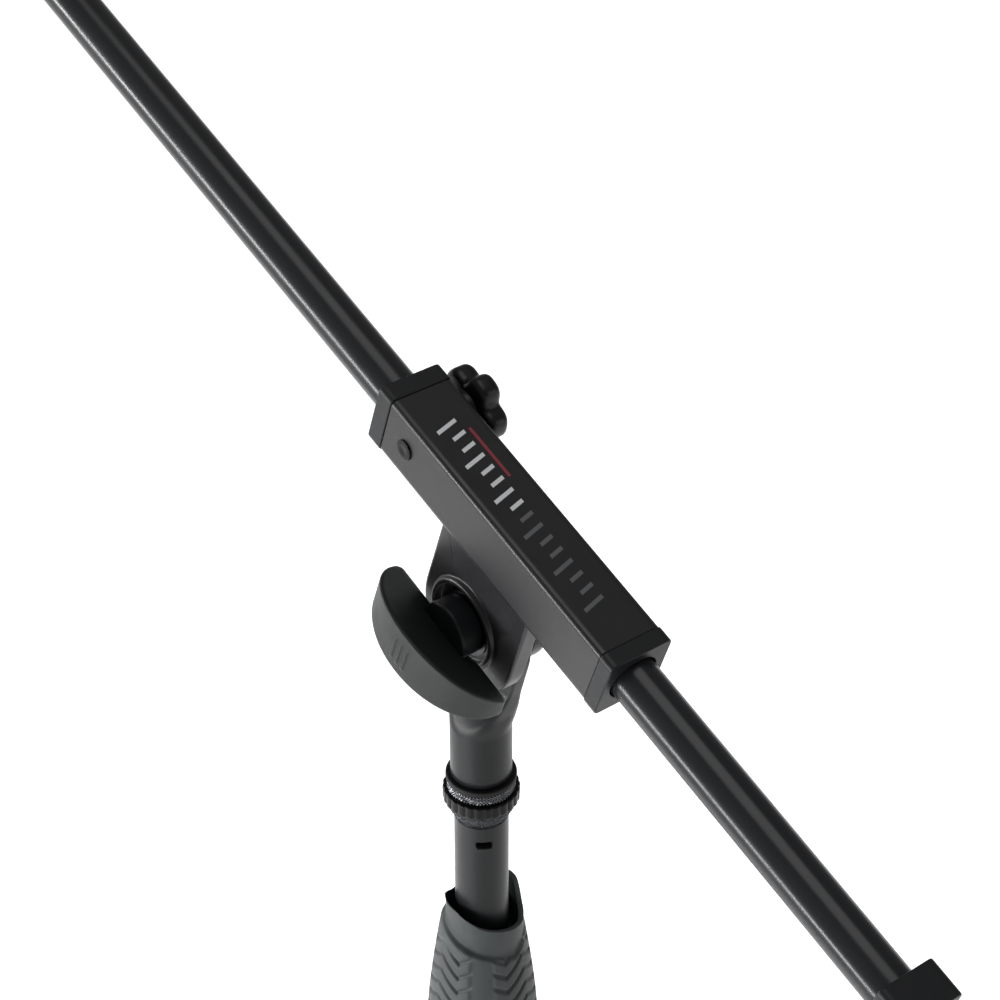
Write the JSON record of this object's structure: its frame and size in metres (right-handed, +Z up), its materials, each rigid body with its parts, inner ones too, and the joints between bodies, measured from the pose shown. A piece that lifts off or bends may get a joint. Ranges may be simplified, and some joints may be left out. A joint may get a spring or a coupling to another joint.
{
  "type": "boom microphone stand",
  "caption": "Folding tripod microphone stand with a telescoping twist-clutch mast and a sliding, tilting boom held in a rectangular clamp housing with a half-moon tilt handle.",
  "frame": {"origin": "on the mast's axis, in the plane of the floor that the three feet rest on", "axes": "+Z up along the mast, +X towards the microphone end of the boom, +Y towards the tilt handle"},
  "size_m": [0.771, 0.5706, 1.2858],
  "materials": {
    "hub_casting": "satin powder coat on a die casting",
    "steel_pins": "plain steel",
    "zinc_steel": "zinc plated",
    "knob_plastic": "moulded black",
    "tube_paint": "satin black paint",
    "black_plastic": "moulded black",
    "pole_paint": "satin black coating",
    "bush_nylon": "nylon",
    "knurled_metal": "knurled, black nickel",
    "ring_plastic": "ribbed black",
    "ring_metal": "knurled, black nickel",
    "washer_rubber": "matte",
    "grip_rubber": "soft matte",
    "swivel_casting": "satin black coating on a die casting",
    "cover_plastic": "black",
    "friction_fibre": "friction fibre",
    "housing_paint": "satin black coating",
    "cap_plastic": "fine texture",
    "plug_plastic": "satin",
    "handle_rubber": "soft-touch",
    "handle_core_plastic": "moulded black",
    "boom_paint": "satin black coating",
    "stop_plastic": "fine texture",
    "fitting_metal": "turned and plated",
    "foot_rubber": "matte"
  },
  "bodies": {
    "base": {"base_hub": "hub_casting", "leg_pins": "steel_pins", "outer_tube": "tube_paint", "tube_plug": "black_plastic", "clutch_sleeve": "zinc_steel", "clutch_collet": "bush_nylon"},
    "hub_lock": {"hub_lock_screw": "zinc_steel", "hub_lock_knob": "knob_plastic"},
    "clutch": {"clutch_body": "black_plastic", "clutch_grip": "grip_rubber"},
    "mast": {"inner_pole": "pole_paint", "pole_bush": "bush_nylon", "thread_insert": "knurled_metal"},
    "lock_ring": {"ribbed_ring": "ring_plastic", "knurled_ring": "ring_metal"},
    "swivel_head": {"swivel": "swivel_casting", "socket_washer": "washer_rubber", "pivot_bolt": "zinc_steel", "bolt_cover": "cover_plastic"},
    "boom_head": {"clamp_housing": "housing_paint", "rear_cap": "cap_plastic", "front_cap": "cap_plastic", "rear_liner": "bush_nylon", "front_liner": "bush_nylon", "clamp_pad": "bush_nylon", "side_plug": "plug_plastic", "friction_disc": "friction_fibre"},
    "boom_clamp": {"clamp_screw": "zinc_steel", "clamp_knob": "knob_plastic"},
    "boom": {"boom_tube": "boom_paint", "boom_end_stop": "stop_plastic", "mic_fitting": "fitting_metal"},
    "tilt_handle": {"handle_grip": "handle_rubber", "handle_core": "handle_core_plastic", "handle_washer": "zinc_steel"},
    "leg_front": {"leg_tongue_front": "hub_casting", "leg_tube_front": "tube_paint", "leg_foot_front": "foot_rubber"},
    "leg_left": {"leg_tongue_left": "hub_casting", "leg_tube_left": "tube_paint", "leg_foot_left": "foot_rubber"},
    "leg_right": {"leg_tongue_right": "hub_casting", "leg_tube_right": "tube_paint", "leg_foot_right": "foot_rubber"}
  },
  "joints": [
    {"name": "leg_fold_front", "type": "hinge", "parent": "base", "child": "leg_front", "pos_m": [0.035, 0, 0.06235], "axis": [0, -1, 0], "range_deg": [0, 99]},
    {"name": "leg_fold_left", "type": "hinge", "parent": "base", "child": "leg_left", "pos_m": [-0.0175, 0.03031, 0.06235], "axis": [0.866, 0.5, 0], "range_deg": [0, 99]},
    {"name": "leg_fold_right", "type": "hinge", "parent": "base", "child": "leg_right", "pos_m": [-0.0175, -0.03031, 0.06235], "axis": [-0.866, 0.5, 0], "range_deg": [0, 99]},
    {"name": "hub_lock_turn", "type": "hinge", "parent": "base", "child": "hub_lock", "pos_m": [-0.031, 0, 0.06235], "axis": [-1, 0, 0], "range_deg": [-90, 180]},
    {"name": "clutch_twist", "type": "hinge", "parent": "base", "child": "clutch", "pos_m": [0, 0, 0.87435], "axis": [0, 0, 1], "range_deg": [-20, 90]},
    {"name": "mast_slide", "type": "slide", "parent": "base", "child": "mast", "axis": [0, 0, 1], "range_m": [-0.03, 0.56]},
    {"name": "lock_ring_turn", "type": "hinge", "parent": "mast", "child": "lock_ring", "pos_m": [0, 0, 0.95765], "axis": [0, 0, 1], "range_deg": [-90, 90]},
    {"name": "boom_swivel", "type": "hinge", "parent": "mast", "child": "swivel_head", "pos_m": [0, 0, 0.96905], "axis": [0, 0, 1], "range_deg": [-180, 180]},
    {"name": "boom_tilt", "type": "hinge", "parent": "swivel_head", "child": "boom_head", "pos_m": [0, 0, 1.03645], "axis": [0, -1, 0], "range_deg": [-95, 65]},
    {"name": "tilt_handle_turn", "type": "hinge", "parent": "swivel_head", "child": "tilt_handle", "pos_m": [0, 0.01, 1.03645], "axis": [0, 1, 0], "range_deg": [-120, 120]},
    {"name": "boom_clamp_turn", "type": "hinge", "parent": "boom_head", "child": "boom_clamp", "pos_m": [0.02839, -0.0117, 1.09529], "axis": [0, -1, 0], "range_deg": [-90, 180]},
    {"name": "boom_slide", "type": "slide", "parent": "boom_head", "child": "boom", "axis": [0.9455, 0, 0.3256], "range_m": [-0.5, 0.11]}
  ]
}
